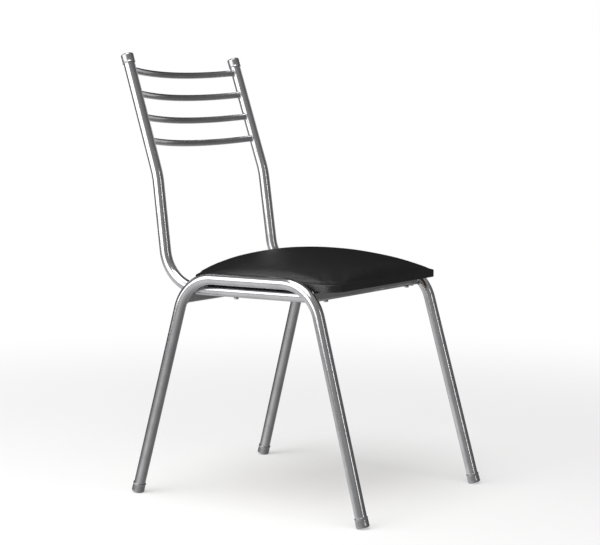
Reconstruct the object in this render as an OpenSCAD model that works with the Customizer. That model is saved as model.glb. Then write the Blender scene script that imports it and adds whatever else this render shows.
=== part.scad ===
// Stacking chair: welded steel tube frame, four bowed back slats, padded seat.
// Millimetres. X is the sitter's left and right, -Y is the front, Z is up, and the floor is Z = 0.

/* [Tube] */
// Outside diameter of the leg and back tubes
tube_d = 22.2; // [18:0.1:28]
// Wall of the leg and back tubes
tube_wall = 1.2; // [0.9:0.1:2]
// Radius of the big bends, at the tube's centre line
bend_r = 80; // [62:1:100]
// Outside diameter of the back slats
slat_d = 12.7; // [10:0.1:16]
// Wall of the back slats
slat_wall = 1; // [0.8:0.1:1.5]

/* [Legs] */
// Height of the centre line of the tube beside the seat
leg_top_z = 430; // [340:1:520]
// Distance between the two leg frames at the top, centre to centre
leg_top_spacing = 410; // [340:1:500]
// Length of a leg frame's top, between the corners of its centre line
leg_top_length = 284; // [240:1:345]
// How far each foot stands ahead of, or behind, the corner above it
leg_reach = 117; // [80:1:150]
// How far each foot stands outside the tube above it
leg_splay = 11; // [0:1:30]

/* [Back] */
// Drop from the leg frame's top to the seat rail beside it, beyond a tube's diameter
rail_drop = 1.9; // [0.5:0.1:6]
// Gap between the seat rail and the leg frame in plan, which the weld fills
rail_gap = 0.6; // [0.3:0.1:3]
// How far the corner of the upright stands behind the corner of the leg frame
back_setback = 61; // [55:1:90]
// Height of the lower part of the upright, from the seat rail to its second bend
lower_back_h = 214; // [170:1:260]
// Backward reach of the lower part of the upright
lower_back_reach = 27.5; // [10:0.5:45]
// Height of the upper part of the upright
upper_back_h = 236; // [195:1:290]
// Backward reach of the upper part of the upright
upper_back_reach = 77; // [50:1:100]
// Radius of the second bend in the upright
upper_bend_r = 150; // [100:5:200]
// How far each upright leans in by its top
back_taper = 5.7; // [0:0.1:15]

/* [Slats] */
// Distance from the upright's end to the first slat, along the tube
first_slat = 31; // [27:0.5:40]
// Distance from slat to slat, along the tube
slat_pitch = 48.3; // [35:0.1:58]
// How far the middle of a slat bows behind its ends
slat_bow = 28; // [12:1:40]

/* [Cross rails] */
// Height of the flattened tube of the cross rails
cross_h = 19; // [16:0.5:24]
// Thickness of the flattened tube of the cross rails
cross_t = 10; // [8:0.5:14]
// Wall of the flattened tube of the cross rails
cross_wall = 1.2; // [0.9:0.1:1.8]
// Corner radius of the flattened tube of the cross rails
cross_corner_r = 3.5; // [2.5:0.1:3.9]

/* [Caps] */
// Wall of the foot caps and back caps around the tube
cap_wall = 1.3; // [1:0.1:2.5]
// Length of the caps
cap_length = 19; // [15:1:30]
// Thickness of a cap's closed end
cap_end = 3.2; // [2.5:0.1:5]
// Radius around a cap's closed end
cap_round = 3.4; // [2:0.1:3.8]
// Clearance between a cap and its tube, all round
cap_clearance = 0.1; // [0.05:0.05:0.3]
// Depth of the small flat that the floor wears on each foot cap
sole_cut = 1; // [0.5:0.1:1.5]

/* [Seat] */
// Gap between the pad's sides and the leg frames
seat_side_gap = 2; // [1:0.5:8]
// How far the pad's front edge stands ahead of the leg frame's corner
seat_overhang = 45; // [30:1:60]
// Height of the crown of the pad above its underside
pad_height = 65; // [50:1:80]
// Height of the padding above the board at the pad's front corners
corner_pad = 4; // [3:0.5:12]
// Radius of the pad's front corners
front_corner_r = 30; // [15:1:45]
// Radius of the pad's rear corners
rear_corner_r = 65; // [61:1:90]
// Thickness of the plywood board
board_t = 12; // [9:0.5:15]
// Thickness of the vinyl cover
cover_t = 1; // [0.6:0.1:1.5]
// Width of the cover's hem that is folded under the board
cover_fold = 27; // [24:1:35]
// Gap between the pad and the rails under it
seat_gap = 0.15; // [0.1:0.05:0.5]

/* [Fasteners] */
// Shank diameter of the seat screws
screw_d = 4.8; // [4:0.1:6]
// Head diameter of the seat screws
screw_head_d = 9.6; // [8:0.1:12]
// Head height of the seat screws
screw_head_h = 3.6; // [3:0.1:5]
// Depth that the seat screws reach into the board
screw_bite = 9; // [6:0.5:10]
// Clearance around the screws in the tubes, all round
screw_clearance = 0.3; // [0.2:0.1:0.5]
// Distance of the front screws from the middle of the front cross rail
front_screw_x = 150; // [100:1:155]
// Distance of the rear screws behind the middle of the leg frames
rear_screw_y = 43; // [10:1:60]
// Width of a staple's crown
staple_w = 10; // [8:0.5:13]
// Wire thickness of a staple
staple_wire = 0.8; // [0.6:0.1:1.2]
// Length of a staple's legs
staple_leg = 7; // [5:0.5:8]
// Distance of the staples from the pad's edge
staple_inset = 21; // [19:0.5:22]
// Target distance from staple to staple
staple_pitch = 30; // [22:1:40]

/* [Hidden] */

$fn = 96;
sphere_fn = 360;
corner_steps = 8;
cut = 1;
left = -1;
right = 1;
front = -1;
rear = 1;

tube_r = tube_d / 2;
tube_inner_r = tube_r - tube_wall;
slat_r = slat_d / 2;
slat_inner_r = slat_r - slat_wall;

// Collars where a bend meets a straight
mark_w = 0.6;
mark_h = 0.04;
mark_gap = 0.02;

// Leg frames: each is bent in one plane, and that plane leans out by the splay.
leg_top_x = leg_top_spacing / 2;
leg_top_y = leg_top_length / 2;
splay_angle = atan(leg_splay / leg_top_z);
lean_angle = atan(leg_reach / leg_top_z);
leg_angle = acos(cos(splay_angle) * cos(lean_angle));
leg_bend_tangent = bend_r * tan((90 - lean_angle) / 2);
leg_bend_low_z = leg_top_z - leg_bend_tangent * cos(lean_angle);

// Caps: the axis of a leg ends just above the floor, because the cap stands on its lower edge.
cap_r = tube_r + cap_clearance + cap_wall;
cap_ring_r = cap_r - cap_round;
foot_axis_z = cap_round * (1 - cos(leg_angle)) + cap_ring_r * sin(leg_angle) - sole_cut;
foot_axis_y = leg_top_y + (leg_top_z - foot_axis_z) * tan(lean_angle);
foot_drop = (leg_top_z - foot_axis_z) / cos(splay_angle);
tube_stop = cap_end + cap_clearance;

// Seat rails and uprights
rail_z = leg_top_z - tube_d - rail_drop;
rail_x = leg_top_x - tube_d - rail_gap;
rail_top_z = rail_z + tube_r;
upright_corner_y = leg_top_y + back_setback;
upright_knee_y = upright_corner_y + lower_back_reach;
upright_knee_z = rail_z + lower_back_h;
upright_end_y = upright_knee_y + upper_back_reach;
upright_end_z = upright_knee_z + upper_back_h;
lower_lean = atan(lower_back_reach / lower_back_h);
upper_lean = atan(upper_back_reach / upper_back_h);
taper_angle = atan(back_taper / (upright_end_z - rail_z));
rail_bend_y = upright_corner_y - bend_r * tan((90 - lower_lean) / 2);

// Cross rails: both are welded between the leg frames, the rear one under the seat rails.
saddle_depth = 1;
front_cross_z = rail_top_z - cross_h / 2;
front_cross_y = -leg_y_at(front_cross_z);
rear_cross_z = rail_z - tube_r + saddle_depth - cross_h / 2 + rail_rise_at(leg_y_at(rail_z - tube_r - cross_h / 2));
rear_cross_y = leg_y_at(rear_cross_z);
rail_front_y = front_cross_y + cross_t / 2;

// Seat pad: its sides clear the leg frames and its rear corners clear the bends of the rails.
pad_z = rail_top_z + seat_gap;
pad_x = leg_top_x - tube_r - seat_side_gap;
pad_front_y = -leg_top_y - seat_overhang;
rear_corner_x = rail_x - (pad_x - rear_corner_r);
pad_rear_y = rail_bend_y + rear_corner_r - sqrt(pow(rear_corner_r, 2) - pow(rear_corner_x, 2));
pad_mid_y = (pad_front_y + pad_rear_y) / 2;
crown_z = pad_z + pad_height;
crown_reach = norm([pad_x - front_corner_r, pad_mid_y - pad_front_y - front_corner_r]) + front_corner_r;
crown_drop = pad_height - cover_t - board_t - corner_pad;
crown_r = (pow(crown_reach, 2) + pow(crown_drop, 2)) / (2 * crown_drop);
board_z = pad_z + cover_t;
board_top_z = board_z + board_t;
foam_gap = 0.1;

// The row's origin is under the middle of the chair's outline.
front_extent = -foot_axis_y + cap_round * sin(lean_angle) - cap_ring_r * cos(lean_angle) - cap_round;
cap_extent = upright_end_y - cap_round * sin(upper_lean) + cap_ring_r * cos(upper_lean) + cap_round;
slat_extent = upright_end_y - first_slat * sin(upper_lean) + slat_bow * cos(upper_lean) + slat_r;
rear_extent = max(cap_extent, slat_extent);
origin_y = (front_extent + rear_extent) / 2;

steel = [0.62, 0.62, 0.64];
cap_grey = [0.5, 0.5, 0.52];
vinyl_black = [0.06, 0.06, 0.07];
plywood = [0.76, 0.6, 0.4];
foam_cream = [0.93, 0.88, 0.7];
zinc = [0.7, 0.7, 0.72];

// Distance of a leg's centre line from the middle of its frame at a height
function leg_y_at(z) = z > leg_bend_low_z
    ? leg_top_y - leg_bend_tangent + sqrt(pow(bend_r, 2) - pow(z - leg_top_z + bend_r, 2))
    : leg_top_y + (leg_top_z - z) * tan(lean_angle);

// Distance of a leg's centre line from the chair's middle plane at a height
function leg_x_at(z) = leg_top_x + (leg_top_z - z) * tan(splay_angle);

// Rise of the seat rail where it has begun to bend up
function rail_rise_at(y) = y > rail_bend_y
    ? bend_r - sqrt(pow(bend_r, 2) - pow(y - rail_bend_y, 2))
    : 0;

function heading(a, b) = atan2(b[1] - a[1], b[0] - a[0]);
function turn_at(path, i) =
    (heading(path[i], path[i + 1]) - heading(path[i - 1], path[i]) + 540) % 360 - 180;
function tangent_at(path, radii, i) =
    i == 0 || i == len(path) - 1 ? 0 : radii[i] * tan(abs(turn_at(path, i)) / 2);
function along(p, angle, distance) = [p[0] + distance * cos(angle), p[1] + distance * sin(angle)];

// Corner of a rounded outline: centre, radius and the quarter turn that it starts at
function corner_points(x, y, r, start) =
    [for (i = [0 : corner_steps]) [x + r * cos(start + 90 * i / corner_steps), y + r * sin(start + 90 * i / corner_steps)]];

function pad_outline(inset) = concat(
    corner_points(pad_x - rear_corner_r, pad_rear_y - rear_corner_r, rear_corner_r - inset, 0),
    corner_points(-pad_x + rear_corner_r, pad_rear_y - rear_corner_r, rear_corner_r - inset, 90),
    corner_points(-pad_x + front_corner_r, pad_front_y + front_corner_r, front_corner_r - inset, 180),
    corner_points(pad_x - front_corner_r, pad_front_y + front_corner_r, front_corner_r - inset, 270)
);

function cross_outline(inset) = let (
    x = cross_t / 2 - cross_corner_r,
    y = cross_h / 2 - cross_corner_r,
    r = cross_corner_r - inset
) concat(
    corner_points(x, y, r, 0),
    corner_points(-x, y, r, 90),
    corner_points(-x, -y, r, 180),
    corner_points(x, -y, r, 270)
);

module in_row() {
    translate([0, -origin_y, 0]) children();
}

module ring(outer, inner) {
    difference() {
        circle(outer);
        if (inner > 0) circle(inner);
    }
}

// Thin collar at the end of a bend, which joins the bend to the straight tube
module bend_mark(angle, outer, inner) {
    rotate([angle - 90, 0, 0])
        translate([0, 0, -mark_w / 2])
            linear_extrude(mark_w) ring(outer + mark_h, inner > 0 ? inner - mark_h : 0);
}

// Tube bent along a path in the plane of Y and Z
module bent_tube(path, radii, outer, inner) {
    for (i = [0 : len(path) - 2]) {
        angle = heading(path[i], path[i + 1]);
        start = along(path[i], angle, tangent_at(path, radii, i) + (i > 0 ? mark_gap : 0));
        end = along(path[i + 1], angle, -tangent_at(path, radii, i + 1) - (i < len(path) - 2 ? mark_gap : 0));
        translate([0, start[0], start[1]])
            rotate([angle - 90, 0, 0])
                linear_extrude(norm(end - start)) ring(outer, inner);
        if (i > 0) translate([0, start[0], start[1]]) bend_mark(angle, outer, inner);
        if (i < len(path) - 2) translate([0, end[0], end[1]]) bend_mark(angle, outer, inner);
    }
    for (i = [1 : len(path) - 2]) {
        angle = heading(path[i - 1], path[i]);
        side = sign(turn_at(path, i));
        start = along(path[i], angle, -tangent_at(path, radii, i));
        centre = along(start, angle + 90 * side, radii[i]);
        first = side > 0 ? angle - 90 : heading(path[i], path[i + 1]) + 90;
        translate([0, centre[0], centre[1]])
            rotate([90, 0, 90])
                rotate([0, 0, first])
                    rotate_extrude(angle = abs(turn_at(path, i)))
                        translate([radii[i], 0]) ring(outer, inner);
    }
}

// The leaning plane of a leg frame, with its origin in the middle of the frame's top
module leg_plane(side) {
    translate([side * leg_top_x, 0, leg_top_z])
        rotate([0, -side * splay_angle, 0]) children();
}

module leg_run(side, inner) {
    end = [-foot_axis_y, -foot_drop];
    stop = along(end, heading(end, [-leg_top_y, 0]), tube_stop);
    path = [stop, [-leg_top_y, 0], [leg_top_y, 0], [-stop[0], stop[1]]];
    leg_plane(side) bent_tube(path, [0, bend_r, bend_r, 0], tube_r, inner);
}

// The plane of a back tube, which leans in by the taper about the seat rail
module back_plane(side) {
    translate([side * rail_x, 0, rail_z])
        rotate([0, -side * taper_angle, 0]) children();
}

module back_run(side, inner) {
    knee = [upright_knee_y, upright_knee_z - rail_z];
    end = [upright_end_y, upright_end_z - rail_z];
    stop = along(end, heading(end, knee), tube_stop);
    path = [[rail_front_y, 0], [upright_corner_y, 0], knee, stop];
    back_plane(side) bent_tube(path, [0, bend_r, upper_bend_r, 0], tube_r, inner);
}

module leg_frame(side) {
    color(steel) in_row() leg_run(side, tube_inner_r);
}

module back_tube(side) {
    color(steel) in_row() difference() {
        back_run(side, tube_inner_r);
        translate([side * rail_x, rear_screw_y, rail_z - tube_d])
            cylinder(h = 2 * tube_d, r = screw_d / 2 + screw_clearance);
    }
}

module cross_bar(y, z) {
    half = leg_x_at(z);
    translate([-half, y, z])
        rotate([90, 0, 90])
            linear_extrude(2 * half) difference() {
                polygon(cross_outline(0));
                polygon(cross_outline(cross_wall));
            }
}

module front_cross_rail() {
    color(steel) in_row() difference() {
        cross_bar(front_cross_y, front_cross_z);
        for (side = [left, right]) {
            leg_run(side, 0);
            translate([side * front_screw_x, front_cross_y, front_cross_z - cross_h])
                cylinder(h = 2 * cross_h, r = screw_d / 2 + screw_clearance);
        }
    }
}

module rear_cross_rail() {
    color(steel) in_row() difference() {
        cross_bar(rear_cross_y, rear_cross_z);
        for (side = [left, right]) {
            leg_run(side, 0);
            back_run(side, 0);
        }
    }
}

// A slat is an arc of tube square to the upper back, and its ends are coped to the uprights.
module back_slat(index) {
    distance = first_slat + index * slat_pitch;
    y = upright_end_y - distance * sin(upper_lean);
    z = upright_end_z - distance * cos(upper_lean);
    half = rail_x - (z - rail_z) * tan(taper_angle);
    arc_r = (pow(half, 2) + pow(slat_bow, 2)) / (2 * slat_bow);
    half_angle = asin(half / arc_r);
    color(steel) in_row() difference() {
        translate([0, y, z])
            rotate([-upper_lean, 0, 0])
                translate([0, slat_bow - arc_r, 0])
                    rotate([0, 0, 90 - half_angle])
                        rotate_extrude(angle = 2 * half_angle, $fn = 360)
                            translate([arc_r, 0]) ring(slat_r, slat_inner_r);
        for (side = [left, right]) back_run(side, 0);
    }
}

// A cap stands on its closed end, with its axis on Z.
module end_cap() {
    difference() {
        rotate_extrude() {
            difference() {
                union() {
                    square([cap_ring_r, cap_length]);
                    translate([0, cap_round]) square([cap_r, cap_length - cap_round]);
                    translate([cap_ring_r, cap_round]) circle(cap_round);
                }
                translate([-cap_r, -cut]) square([cap_r, cap_length + 2 * cut]);
            }
        }
        translate([0, 0, cap_end])
            cylinder(h = cap_length, r = tube_r + cap_clearance);
    }
}

module foot_cap(side, end) {
    color(cap_grey) in_row() difference() {
        leg_plane(side)
            translate([0, end * foot_axis_y, -foot_drop])
                rotate([end * atan(tan(lean_angle) * cos(splay_angle)), 0, 0]) end_cap();
        translate([0, 0, -cap_length])
            linear_extrude(cap_length) square(4 * foot_axis_y, center = true);
    }
}

module back_cap(side) {
    color(cap_grey) in_row() back_plane(side)
        translate([0, upright_end_y, upright_end_z - rail_z])
            rotate([180 - upper_lean, 0, 0]) end_cap();
}

// The pad's outline, cut off by the crowned top
module pad_block(inset, bottom_z, top_inset) {
    intersection() {
        translate([0, 0, bottom_z])
            linear_extrude(crown_z - bottom_z + cut) polygon(pad_outline(inset));
        translate([0, pad_mid_y, crown_z - crown_r])
            sphere(crown_r - top_inset, $fn = sphere_fn);
    }
}

module seat_board() {
    color(plywood) in_row() difference() {
        translate([0, 0, board_z])
            linear_extrude(board_t) polygon(pad_outline(cover_t + foam_gap));
        screw_set(screw_d / 2);
    }
}

module seat_foam() {
    color(foam_cream) in_row() pad_block(cover_t + foam_gap, board_top_z, cover_t + foam_gap);
}

module seat_cover() {
    color(vinyl_black) in_row() difference() {
        pad_block(0, pad_z, 0);
        pad_block(cover_t, board_z, cover_t);
        translate([0, 0, pad_z - cut])
            linear_extrude(cover_t + 2 * cut) polygon(pad_outline(cover_fold));
    }
}

// Staples hold the folded hem: a straight row along each side, clear of the corners and rails.
module staple() {
    translate([-staple_w / 2, -staple_wire / 2, -staple_wire])
        cube([staple_w, staple_wire, staple_wire]);
    for (end = [left, right])
        translate([end * (staple_w - staple_wire) / 2 - staple_wire / 2, -staple_wire / 2, -staple_wire])
            cube([staple_wire, staple_wire, staple_leg + staple_wire]);
}

module staple_row(from, to, angle) {
    count = max(2, round(norm(to - from) / staple_pitch) + 1);
    for (i = [0 : count - 1])
        translate(concat(from + (to - from) * i / (count - 1), pad_z))
            rotate([0, 0, angle]) staple();
}

module cover_staples() {
    side_x = pad_x - staple_inset;
    front_y = pad_front_y + staple_inset;
    rear_y = pad_rear_y - staple_inset;
    reach_x = pad_x - front_corner_r - staple_w;
    rear_reach_x = pad_x - rear_corner_r - staple_w / 2;
    bar_clear = cross_t / 2 + staple_w;
    color(zinc) in_row() {
        staple_row([-reach_x, front_y], [reach_x, front_y], 0);
        staple_row([-rear_reach_x, rear_y], [rear_reach_x, rear_y], 0);
        for (side = [left, right]) {
            staple_row(
                [side * side_x, pad_front_y + front_corner_r],
                [side * side_x, front_cross_y - bar_clear], 90);
            staple_row(
                [side * side_x, front_cross_y + bar_clear],
                [side * side_x, pad_rear_y - rear_corner_r], 90);
        }
    }
}

module screw(head_z, r, head) {
    if (head)
        translate([0, 0, head_z - screw_head_h])
            cylinder(h = screw_head_h, r = screw_head_d / 2);
    translate([0, 0, head_z - cut])
        cylinder(h = board_z + screw_bite - head_z + cut, r = r);
}

module screw_set(r, head = false) {
    for (side = [left, right]) {
        translate([side * rail_x, rear_screw_y, 0]) screw(rail_z - tube_r, r, head);
        translate([side * front_screw_x, front_cross_y, 0]) screw(front_cross_z - cross_h / 2, r, head);
    }
}

module seat_screws() {
    color(zinc) in_row() screw_set(screw_d / 2, true);
}

leg_frame(left);  // leg_frame_left
leg_frame(right);  // leg_frame_right
back_tube(left);  // back_tube_left
back_tube(right);  // back_tube_right
front_cross_rail();
rear_cross_rail();
back_slat(0);  // back_slat_top
back_slat(1);  // back_slat_upper
back_slat(2);  // back_slat_lower
back_slat(3);  // back_slat_bottom
foot_cap(left, front);  // foot_cap_front_left
foot_cap(right, front);  // foot_cap_front_right
foot_cap(left, rear);  // foot_cap_rear_left
foot_cap(right, rear);  // foot_cap_rear_right
back_cap(left);  // back_cap_left
back_cap(right);  // back_cap_right
seat_board();
seat_foam();
seat_cover();
cover_staples();
seat_screws();
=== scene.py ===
import math

import bmesh
import bpy
from mathutils import Matrix, Vector, noise
from mathutils.bvhtree import BVHTree


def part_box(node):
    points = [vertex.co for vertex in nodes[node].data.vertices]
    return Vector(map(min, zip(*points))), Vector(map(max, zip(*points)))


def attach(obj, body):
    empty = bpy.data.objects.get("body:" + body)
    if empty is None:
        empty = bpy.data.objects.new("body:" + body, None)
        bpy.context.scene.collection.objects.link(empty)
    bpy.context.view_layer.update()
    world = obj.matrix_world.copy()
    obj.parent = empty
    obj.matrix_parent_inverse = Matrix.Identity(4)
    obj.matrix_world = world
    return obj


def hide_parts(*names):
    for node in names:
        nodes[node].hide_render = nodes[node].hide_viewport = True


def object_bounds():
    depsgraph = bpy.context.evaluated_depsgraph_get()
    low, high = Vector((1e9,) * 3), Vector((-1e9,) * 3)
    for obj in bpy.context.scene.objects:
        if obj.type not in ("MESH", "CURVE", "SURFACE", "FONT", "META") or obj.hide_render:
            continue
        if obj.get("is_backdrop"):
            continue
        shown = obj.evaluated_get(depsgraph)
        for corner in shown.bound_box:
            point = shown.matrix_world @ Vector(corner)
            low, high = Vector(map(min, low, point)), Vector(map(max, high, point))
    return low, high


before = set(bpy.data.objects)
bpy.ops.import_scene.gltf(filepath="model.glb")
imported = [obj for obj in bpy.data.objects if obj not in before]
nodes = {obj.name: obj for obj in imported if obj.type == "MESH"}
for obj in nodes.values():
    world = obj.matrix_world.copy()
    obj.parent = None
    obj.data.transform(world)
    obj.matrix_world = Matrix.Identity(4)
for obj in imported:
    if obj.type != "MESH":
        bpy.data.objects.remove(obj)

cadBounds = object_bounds()
print("frame loaded:", len(nodes), "nodes")


# camera, on the sitter's right and ahead of the chair

view = {
    "stand": Vector((-2.645, -1.756, 0.738)),
    "target": Vector((0.005, -0.008, 0.428)),
    "lens": 97.0,
}


def makeCamera():
    data = bpy.data.cameras.new("studioCamera")
    data.lens = view["lens"]
    data.sensor_width = 36.0
    camera = bpy.data.objects.new("studioCamera", data)
    bpy.context.scene.collection.objects.link(camera)
    camera.location = view["stand"]
    camera.rotation_euler = (view["target"] - view["stand"]).to_track_quat("-Z", "Y").to_euler()
    bpy.context.scene.camera = camera


makeCamera()


# node trees, for finishes and for geometry

class Wire:
    # one output of a node tree, with Python's own operators for its maths

    def __init__(self, bench, socket):
        self.bench = bench
        self.socket = socket

    def maths(self, operation, *others, clamp=False):
        inputs = dict(enumerate((self,) + others))
        return self.bench.node("ShaderNodeMath", {"operation": operation, "use_clamp": clamp}, inputs)

    def __add__(self, other):
        return self.maths("ADD", other)

    __radd__ = __add__

    def __sub__(self, other):
        return self.maths("SUBTRACT", other)

    def __rsub__(self, other):
        return self.bench.node("ShaderNodeMath", {"operation": "SUBTRACT"}, {0: other, 1: self})

    def __mul__(self, other):
        return self.maths("MULTIPLY", other)

    __rmul__ = __mul__

    def __truediv__(self, other):
        return self.maths("DIVIDE", other)

    def __rtruediv__(self, other):
        return self.bench.node("ShaderNodeMath", {"operation": "DIVIDE"}, {0: other, 1: self})


class Bench:
    # a node tree that is being laid out

    def __init__(self, tree):
        self.tree = tree

    def node(self, kind, settings=None, inputs=None, out=0):
        made = self.tree.nodes.new(kind)
        for key, value in (settings or {}).items():
            if key == "stops":
                self.setStops(made.color_ramp, value)
            else:
                setattr(made, key, value)
        for key, value in (inputs or {}).items():
            if isinstance(value, Wire):
                self.tree.links.new(value.socket, made.inputs[key])
            else:
                made.inputs[key].default_value = value
        return Wire(self, made.outputs[out]) if made.outputs else None

    def setStops(self, ramp, stops):
        while len(ramp.elements) < len(stops):
            ramp.elements.new(0.5)
        for element, (place, colour) in zip(ramp.elements, stops):
            element.position = place
            element.color = colour if len(colour) == 4 else (*colour, 1)

    def ramp(self, factor, stops):
        return self.node("ShaderNodeValToRGB", {"stops": stops}, {0: factor})

    def step(self, factor, low, high):
        settings = {"interpolation_type": "SMOOTHSTEP"}
        return self.node("ShaderNodeMapRange", settings, {0: factor, 1: low, 2: high})

    def mix(self, factor, first, second, blend="MIX"):
        ends = {key: (*value, 1) if isinstance(value, tuple) and len(value) == 3 else value
                for key, value in ((6, first), (7, second))}
        settings = {"data_type": "RGBA", "blend_type": blend}
        return self.node("ShaderNodeMix", settings, {0: factor, **ends}, out=2)

    def place(self, stretch=(1, 1, 1)):
        where = self.node("ShaderNodeTexCoord", out=3)
        if stretch == (1, 1, 1):
            return where
        return self.node("ShaderNodeMapping", {}, {0: where, 3: stretch})

    def cloud(self, where, scale, detail=3.0, roughness=0.5):
        inputs = {"Vector": where, "Scale": scale, "Detail": detail, "Roughness": roughness}
        return self.node("ShaderNodeTexNoise", {}, inputs)

    def wander(self, where, scale, detail, reach, start):
        # start, pushed about by a coloured noise
        drift = self.node("ShaderNodeTexNoise", {}, {"Vector": where, "Scale": scale, "Detail": detail}, out=1)
        return self.node("ShaderNodeVectorMath", {"operation": "MULTIPLY_ADD"}, {0: drift, 1: reach, 2: start})

    def cells(self, where, scale, feature="DISTANCE_TO_EDGE"):
        return self.node("ShaderNodeTexVoronoi", {"feature": feature}, {"Vector": where, "Scale": scale})

    def bump(self, height, distance, strength=1.0, under=None):
        inputs = {"Height": height, "Distance": distance, "Strength": strength}
        if under:
            inputs["Normal"] = under
        return self.node("ShaderNodeBump", {}, inputs)


def newFinish(name):
    finish = bpy.data.materials.new(name)
    finish.use_nodes = True
    finish.node_tree.nodes.clear()
    return finish, Bench(finish.node_tree)


def surface(bench, inputs):
    shader = bench.node("ShaderNodeBsdfPrincipled", {}, inputs)
    bench.node("ShaderNodeOutputMaterial", {}, {"Surface": shader})


# finishes

plating = {
    "bright": (0.56, 0.56, 0.57),
    "dull": (0.40, 0.40, 0.415),
    "smooth": 0.13,
    "rough": 0.12,      # added where the plate is cloudy or rubbed
    "grain": 0.000008,
}
weldPlating = {
    "bright": (0.46, 0.46, 0.47),
    "dull": (0.25, 0.25, 0.26),
    "smooth": 0.24,
    "rough": 0.22,
    "grain": 0.00005,
}
plateSpeck = (0.20, 0.20, 0.21)


def makePlating(name, s, stretch):
    finish, b = newFinish(name)
    where = b.place()
    cloudy = b.step(b.cloud(where, 24.0, 5.0, 0.6), 0.35, 0.72)
    drawn = b.cloud(b.place(stretch), 300.0, 3.0, 0.55)
    rubbed = b.step(drawn, 0.50, 0.78)
    specks = b.step(b.cells(where, 260.0, "F1"), 0.10, 0.04)
    patchy = b.step(b.cloud(where, 90.0, 4.0), 0.45, 0.70)
    tone = b.mix(cloudy * 0.55 + rubbed * 0.25, s["bright"], s["dull"])
    tone = b.mix(specks * patchy * 0.35, tone, plateSpeck)
    rough = cloudy * (s["rough"] * 0.6) + rubbed * (s["rough"] * 0.7) + specks * patchy * 0.2 + s["smooth"]
    ripple = b.bump(b.cloud(where, 55.0, 2.0), 0.00022, 0.25)
    surface(b, {
        "Base Color": tone, "Metallic": 1.0, "Roughness": rough,
        "Normal": b.bump(drawn, s["grain"], 0.5, ripple),
    })
    return finish


vinyl = {
    "black": (0.0035, 0.0035, 0.0040),
    "worn": (0.0095, 0.0095, 0.0105),
    "grainScale": 620.0,
    "grainDepth": 0.00022,
    "rough": 0.40,
    "shine": 0.42,      # specular level
}


def makeVinyl(name, s):
    finish, b = newFinish(name)
    where = b.place()
    bent = b.wander(where, 300.0, 2.0, (0.0011,) * 3, where)
    creases = b.cells(bent, s["grainScale"])
    pebble = b.step(creases, 0.0, 0.22)
    smallPebble = b.step(b.cells(bent, s["grainScale"] * 2.3), 0.0, 0.3)
    handled = b.step(b.cloud(where, 9.0, 4.0, 0.6), 0.40, 0.70)
    softFolds = b.cloud(where, 21.0, 2.0, 0.4)
    tone = b.mix(handled * 0.6 + pebble * 0.4, s["black"], s["worn"])
    rough = s["rough"] - handled * 0.07 - pebble * 0.06 + b.cloud(where, 140.0, 3.0) * 0.06
    lie = b.bump(softFolds, 0.0020, 0.35)
    surface(b, {
        "Base Color": tone, "Roughness": rough, "Specular IOR Level": s["shine"],
        "Normal": b.bump(pebble * 0.75 + smallPebble * 0.25, s["grainDepth"], 0.55, lie),
    })
    return finish


plyFace = {
    "pale": (0.58, 0.41, 0.24),
    "middle": (0.50, 0.335, 0.185),
    "dark": (0.34, 0.205, 0.105),
    "pore": (0.16, 0.09, 0.045),
    "glue": (0.30, 0.18, 0.10),
    "plyScale": 110.0,
    "stretch": (0.06, 1.0, 1.0),   # the grain runs from side to side
}


def makePlywood(name, s):
    finish, b = newFinish(name)
    where = b.place()
    along = b.place(s["stretch"])
    waved = b.wander(where, 6.0, 3.0, (0.02, 0.045, 0.02), along)
    rings = b.node("ShaderNodeTexWave", {"wave_type": "BANDS", "bands_direction": "Y", "wave_profile": "SAW"},
                   {"Vector": waved, "Scale": 34.0, "Distortion": 5.0, "Detail": 3.0, "Detail Scale": 1.6})
    fibre = b.cloud(along, 900.0, 4.0, 0.6)
    pores = b.step(b.cloud(b.place((0.12, 1, 1)), 1500.0, 2.0), 0.60, 0.74)
    plies = b.node("ShaderNodeTexWave", {"wave_type": "BANDS", "bands_direction": "Z"},
                   {"Vector": where, "Scale": s["plyScale"]})
    tone = b.ramp(rings * 0.7 + fibre * 0.3, [(0.15, s["pale"]), (0.62, s["middle"]), (0.95, s["dark"])])
    tone = b.mix(pores * 0.5, tone, s["pore"])
    tone = b.mix(plies * 0.12, tone, s["glue"])
    surface(b, {
        "Base Color": tone, "Roughness": 0.58 + fibre * 0.2,
        "Normal": b.bump(fibre * 0.6 - pores + rings * 0.3, 0.00025, 0.6),
    })
    return finish


cutFoam = {
    "pore": (0.50, 0.42, 0.22),
    "fresh": (0.80, 0.72, 0.47),
    "aged": (0.72, 0.58, 0.30),
}


def makeFoam(name, s):
    finish, b = newFinish(name)
    where = b.place()
    holes = b.cells(where, 900.0, "F1")
    aged = b.cloud(where, 14.0, 3.0)
    tone = b.mix(b.step(holes, 0.1, 0.5), s["pore"], s["fresh"])
    tone = b.mix(aged * 0.5, tone, s["aged"])
    surface(b, {
        "Base Color": tone, "Roughness": 0.85 + holes * 0.1,
        "Normal": b.bump(holes, 0.0006, 0.9),
    })
    return finish


ferrule = {
    "tone": (0.36, 0.36, 0.37),
    "scuffed": (0.44, 0.44, 0.45),
}


def makeCapPlastic(name, s):
    finish, b = newFinish(name)
    where = b.place()
    mould = b.cloud(where, 1400.0, 3.0, 0.6)
    scuffs = b.step(b.cloud(b.place((1, 1, 0.25)), 180.0, 5.0, 0.65), 0.56, 0.74)
    cloudy = b.cloud(where, 60.0, 3.0)
    tone = b.mix(scuffs * 0.6 + cloudy * 0.3, s["tone"], s["scuffed"])
    surface(b, {
        "Base Color": tone, "Metallic": 0.9, "Roughness": 0.20 + scuffs * 0.14 + mould * 0.05,
        "Normal": b.bump(mould, 0.00002, 0.4),
    })
    return finish


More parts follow.
